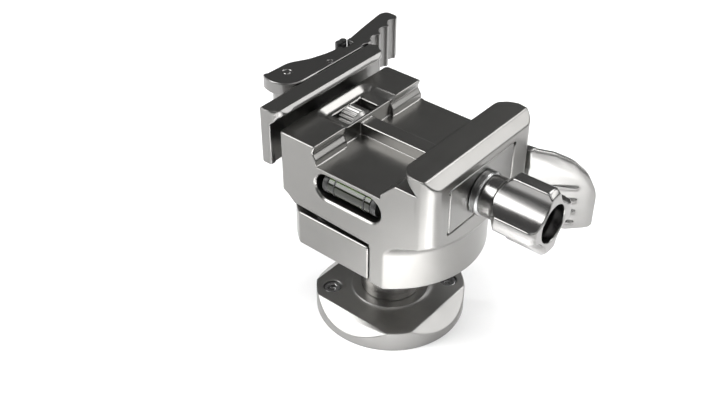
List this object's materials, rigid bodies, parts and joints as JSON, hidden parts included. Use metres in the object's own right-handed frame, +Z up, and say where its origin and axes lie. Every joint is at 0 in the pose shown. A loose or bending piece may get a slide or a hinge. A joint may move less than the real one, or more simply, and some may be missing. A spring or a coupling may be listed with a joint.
{
  "type": "tripod ball head",
  "caption": "Low tripod ball head with a two-way clamp: a lever jaw for camera plates and a knob jaw for accessory rails.",
  "frame": {"origin": "centre of the tripod thread's mouth, on the underside of the base disc", "axes": "+Z up along the stem, +X towards the knob, +Y away from the side with the level, along the plate's channel"},
  "size_m": [0.0751, 0.0543, 0.0572],
  "materials": {
    "body_metal": "bead-blasted anodised, satin",
    "base_metal": "bead-blasted anodised, satin",
    "stem_metal": "turned, satin",
    "jaw_metal": "bead-blasted anodised, satin",
    "lever_metal": "bead-blasted anodised, satin",
    "knob_metal": "anodised, satin",
    "screw_steel": "satin",
    "pin_steel": "satin",
    "black_part": "matt",
    "seat_polymer": "matt",
    "vial_tube_clear": "clear, tinted",
    "vial_bubble_clear": "clear"
  },
  "bodies": {
    "base": {"base_flange": "base_metal", "base_screws": "screw_steel", "thread_bush": "screw_steel"},
    "ball": {"ball_stem": "stem_metal"},
    "seat": {"ball_seat": "seat_polymer"},
    "head": {"housing": "body_metal", "seat_ring": "seat_polymer", "block_pins": "pin_steel", "lock_bush": "screw_steel", "guide_pins": "pin_steel", "vial_tube": "vial_tube_clear", "vial_bubble": "vial_bubble_clear", "vial_caps": "black_part", "vial_rings": "black_part"},
    "block": {"clamp_block": "body_metal"},
    "lock": {"lock_shaft": "pin_steel", "lock_lever": "lever_metal", "lock_screw": "screw_steel"},
    "wheel": {"thumbwheel": "jaw_metal"},
    "draw": {"drawbar": "pin_steel"},
    "jaw": {"arca_jaw": "jaw_metal", "lever_pin": "pin_steel"},
    "lever": {"clamp_lever": "lever_metal", "detent_pin": "screw_steel"},
    "button": {"lever_button": "black_part"},
    "rail": {"rail_jaw": "jaw_metal"},
    "knob_group": {"knob_washer": "screw_steel", "knob": "knob_metal", "clamp_screw": "pin_steel", "knob_cap_screw": "pin_steel"}
  },
  "joints": [
    {"name": "ball_pan", "type": "hinge", "parent": "base", "child": "ball", "pos_m": [0, 0, 0.0059], "axis": [0, 0, 1], "continuous": true},
    {"name": "ball_tilt_x", "type": "hinge", "parent": "ball", "child": "seat", "pos_m": [0, 0, 0.0284], "axis": [1, 0, 0], "range_deg": [-20, 20]},
    {"name": "ball_tilt_y", "type": "hinge", "parent": "seat", "child": "head", "pos_m": [0, 0, 0.0284], "axis": [0, 1, 0], "range_deg": [-20, 20]},
    {"name": "block_slide", "type": "slide", "parent": "head", "child": "block", "axis": [0, 0, -1], "range_m": [0, 0.0003]},
    {"name": "lock_turn", "type": "hinge", "parent": "head", "child": "lock", "pos_m": [0.0115, 0.019, 0.0395], "axis": [0, -1, 0], "range_deg": [0, 60]},
    {"name": "wheel_turn", "type": "hinge", "parent": "head", "child": "wheel", "pos_m": [-0.011, -0.0005, 0.0475], "axis": [1, 0, 0], "range_deg": [-257.2, 257.2]},
    {"name": "draw_slide", "type": "slide", "parent": "head", "child": "draw", "axis": [1, 0, 0], "range_m": [-0.0005, 0.0005]},
    {"name": "jaw_slide", "type": "slide", "parent": "draw", "child": "jaw", "axis": [-1, 0, 0], "range_m": [0, 0.002]},
    {"name": "lever_turn", "type": "hinge", "parent": "jaw", "child": "lever", "pos_m": [-0.0289, -0.0039, 0.0504], "axis": [0, 0, 1], "range_deg": [0, 100]},
    {"name": "button_press", "type": "slide", "parent": "lever", "child": "button", "axis": [1, 0, 0], "range_m": [0, 0.0009], "stiffness_N_per_m": 300},
    {"name": "rail_slide", "type": "slide", "parent": "head", "child": "rail", "axis": [1, 0, 0], "range_m": [0, 0.0025]},
    {"name": "knob_turn", "type": "hinge", "parent": "rail", "child": "knob_group", "pos_m": [0.0305, -0.0008, 0.0461], "axis": [1, 0, 0], "range_deg": [0, 1286]}
  ],
  "couplings": [
    {"joint": "lock_turn", "follows": "block_slide", "rad_per_m": 3490.7},
    {"joint": "wheel_turn", "follows": "draw_slide", "rad_per_m": 8976},
    {"joint": "lever_turn", "follows": "jaw_slide", "rad_per_m": 872.66},
    {"joint": "knob_turn", "follows": "rail_slide", "rad_per_m": 8976}
  ]
}
